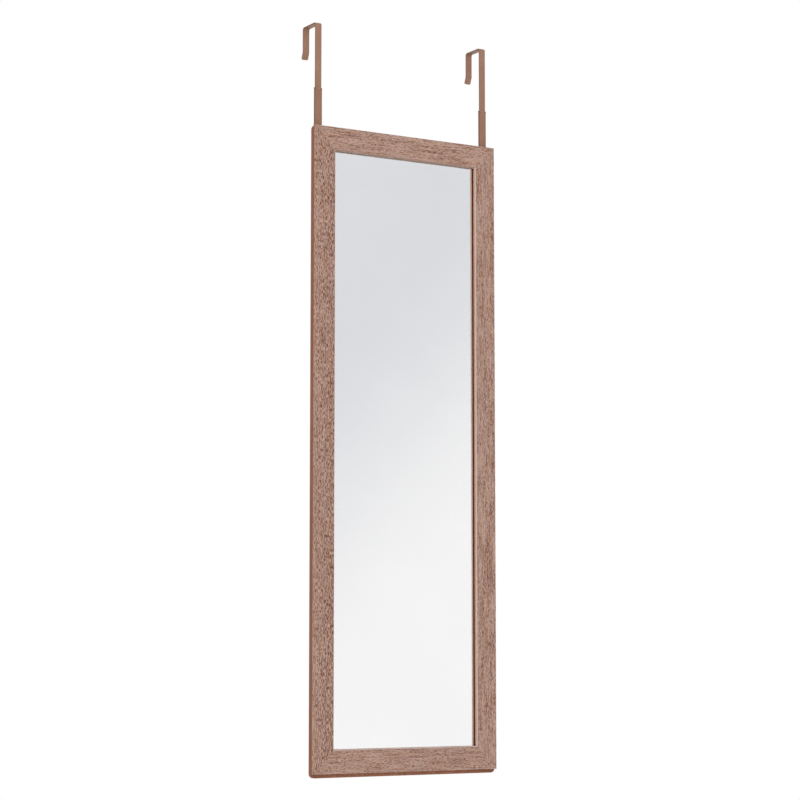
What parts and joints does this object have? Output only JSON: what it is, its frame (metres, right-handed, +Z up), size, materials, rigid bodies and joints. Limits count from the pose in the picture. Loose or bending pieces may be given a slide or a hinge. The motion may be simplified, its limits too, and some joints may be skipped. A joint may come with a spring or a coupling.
{
  "type": "over the door mirror",
  "caption": "Tall framed mirror with a wood-look moulding that hangs over a door on two flat steel hooks, which slide in guide channels behind the frame.",
  "frame": {"origin": "middle of the mirror's width, on the door's front face, level with the door's top edge, where the undersides of the hook bridges rest", "axes": "+X to the right seen from the front, +Y through the door away from the viewer (the mirror looks towards -Y), +Z up"},
  "size_m": [0.406, 0.0735, 1.43],
  "materials": {
    "wood_look": "embossed wood-look wrap, matt, greyish red-brown with darker grain in the hollows",
    "base_paint": "smooth red-brown paint on fibreboard, satin",
    "glass": "clear float glass, polished",
    "silver": "silvering under a safety film",
    "card": "plain brown card",
    "board": "bare hardboard, smooth side out",
    "hook_paint": "fine satin powder coat, light red-brown",
    "zinc": "bright zinc plate",
    "bumper": "matt rubber"
  },
  "bodies": {
    "mirror": {"moulding_top": "wood_look", "moulding_bottom": "wood_look", "moulding_left": "wood_look", "moulding_right": "wood_look", "base_rail_top": "base_paint", "base_rail_bottom": "base_paint", "base_rail_left": "base_paint", "base_rail_right": "base_paint", "mirror_glass": "glass", "silver_backing": "silver", "card_sheet": "card", "backing_board": "board", "retaining_points": "zinc", "v_nails": "zinc", "frame_brads": "zinc", "channel_left": "hook_paint", "channel_screws_left": "zinc", "clamp_nut_left": "zinc", "clamp_screw_left": "zinc", "bumper_left": "bumper", "channel_right": "hook_paint", "channel_screws_right": "zinc", "clamp_nut_right": "zinc", "clamp_screw_right": "zinc", "bumper_right": "bumper"},
    "left_hook": {"hook_left": "hook_paint"},
    "right_hook": {"hook_right": "hook_paint"}
  },
  "joints": [
    {"name": "left_hook_slide", "type": "slide", "parent": "mirror", "child": "left_hook", "axis": [0, 0, 1], "range_m": [-0.05, 0.045]},
    {"name": "right_hook_slide", "type": "slide", "parent": "mirror", "child": "right_hook", "axis": [0, 0, 1], "range_m": [-0.05, 0.045]}
  ]
}
